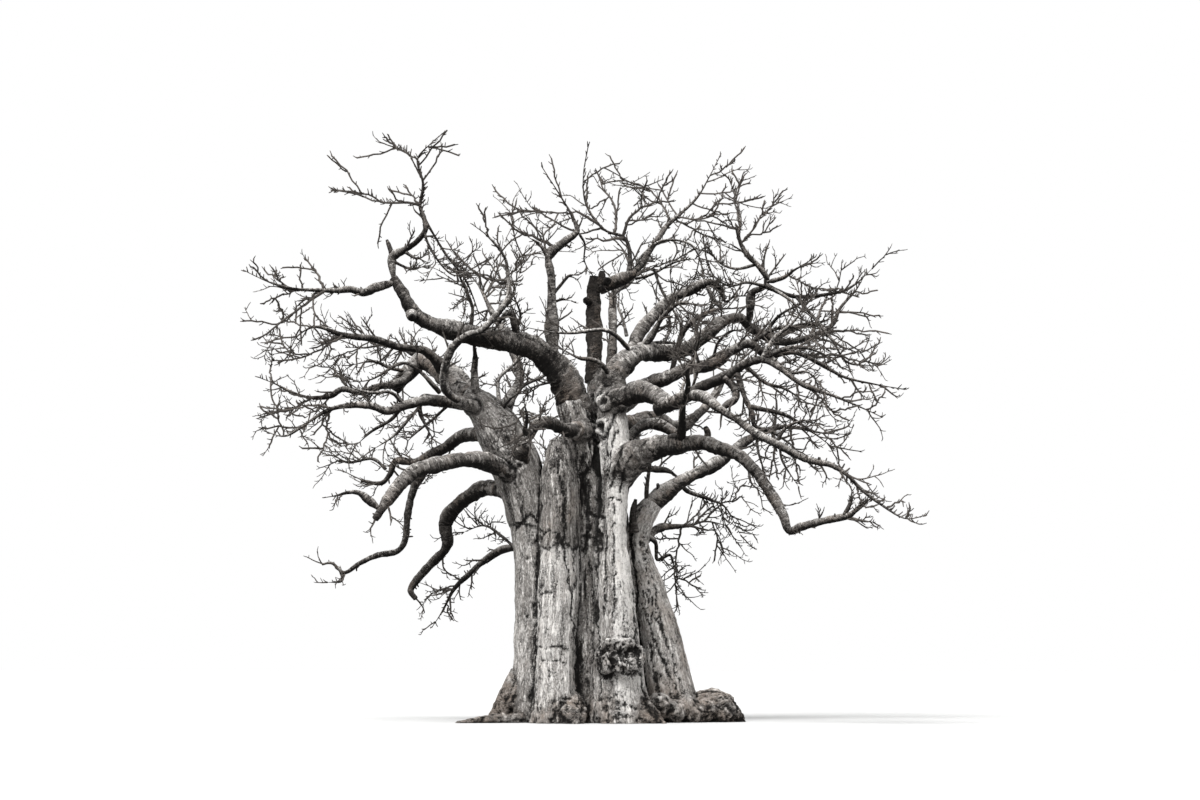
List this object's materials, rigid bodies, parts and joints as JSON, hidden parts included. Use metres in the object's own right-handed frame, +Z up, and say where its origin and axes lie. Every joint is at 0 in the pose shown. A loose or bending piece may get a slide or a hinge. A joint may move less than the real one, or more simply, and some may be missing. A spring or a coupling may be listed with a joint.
{
  "type": "baobab tree",
  "caption": "Old leafless baobab: a massive fluted trunk of fused stems with a root flare, long winding boughs and a wide crown of bare twigs.",
  "frame": {"origin": "middle of the trunk's flat cut at ground level", "axes": "+Z up the trunk, +X to the right and +Y away from the viewer of the picture"},
  "size_m": [18.5858, 15.4559, 16.8314],
  "materials": {
    "trunk_bark": "wrinkled pale grey bark, folded and scarred, with darker old bark in the flutes",
    "bough_bark": "ringed and knobbly grey bark, paler on top and darker underneath",
    "twig_bark": "dark matt twigs with short knobbly spurs and no leaves"
  },
  "bodies": {
    "root": {"trunk": "trunk_bark", "back_centre_bough": "bough_bark", "back_left_bough": "bough_bark", "back_right_bough": "bough_bark", "centre_post_bough": "bough_bark", "crown_right_bough": "bough_bark", "drooping_left_bough": "bough_bark", "far_left_bough": "bough_bark", "front_left_bough": "bough_bark", "front_riser_bough": "bough_bark", "hanging_left_bough": "bough_bark", "high_left_bough": "bough_bark", "hook_bough": "bough_bark", "left_arch_bough": "bough_bark", "left_back_bough": "bough_bark", "left_cross_bough": "bough_bark", "left_fork_bough": "bough_bark", "left_lower_bough": "bough_bark", "left_middle_bough": "bough_bark", "light_post_bough": "bough_bark", "long_right_bough": "bough_bark", "low_back_bough": "bough_bark", "low_back_left_bough": "bough_bark", "low_left_bough": "bough_bark", "right_arch_arm": "bough_bark", "right_arch_bough": "bough_bark", "right_high_bough": "bough_bark", "right_lean_bough": "bough_bark", "right_middle_bough": "bough_bark", "right_middle_reach": "bough_bark", "right_shoot_bough": "bough_bark", "right_upper_bough": "bough_bark", "top_left_bough": "bough_bark", "back_centre_twigs": "twig_bark", "back_left_twigs": "twig_bark", "back_right_twigs": "twig_bark", "crown_centre_twigs": "twig_bark", "crown_right_twigs": "twig_bark", "drooping_left_twigs": "twig_bark", "far_left_twigs": "twig_bark", "forearm_twigs": "twig_bark", "front_left_twigs": "twig_bark", "front_riser_twigs": "twig_bark", "inner_left_twigs": "twig_bark", "inner_right_twigs": "twig_bark", "left_arch_twigs": "twig_bark", "left_back_twigs": "twig_bark", "left_lower_twigs": "twig_bark", "left_middle_twigs": "twig_bark", "light_post_twigs": "twig_bark", "long_right_twigs": "twig_bark", "low_back_twigs": "twig_bark", "low_left_twigs": "twig_bark", "right_high_twigs": "twig_bark", "right_lean_twigs": "twig_bark", "right_middle_twigs": "twig_bark", "right_shoot_twigs": "twig_bark", "right_spray_twigs": "twig_bark", "right_upper_twigs": "twig_bark", "top_left_twigs": "twig_bark"}
  },
  "joints": []
}
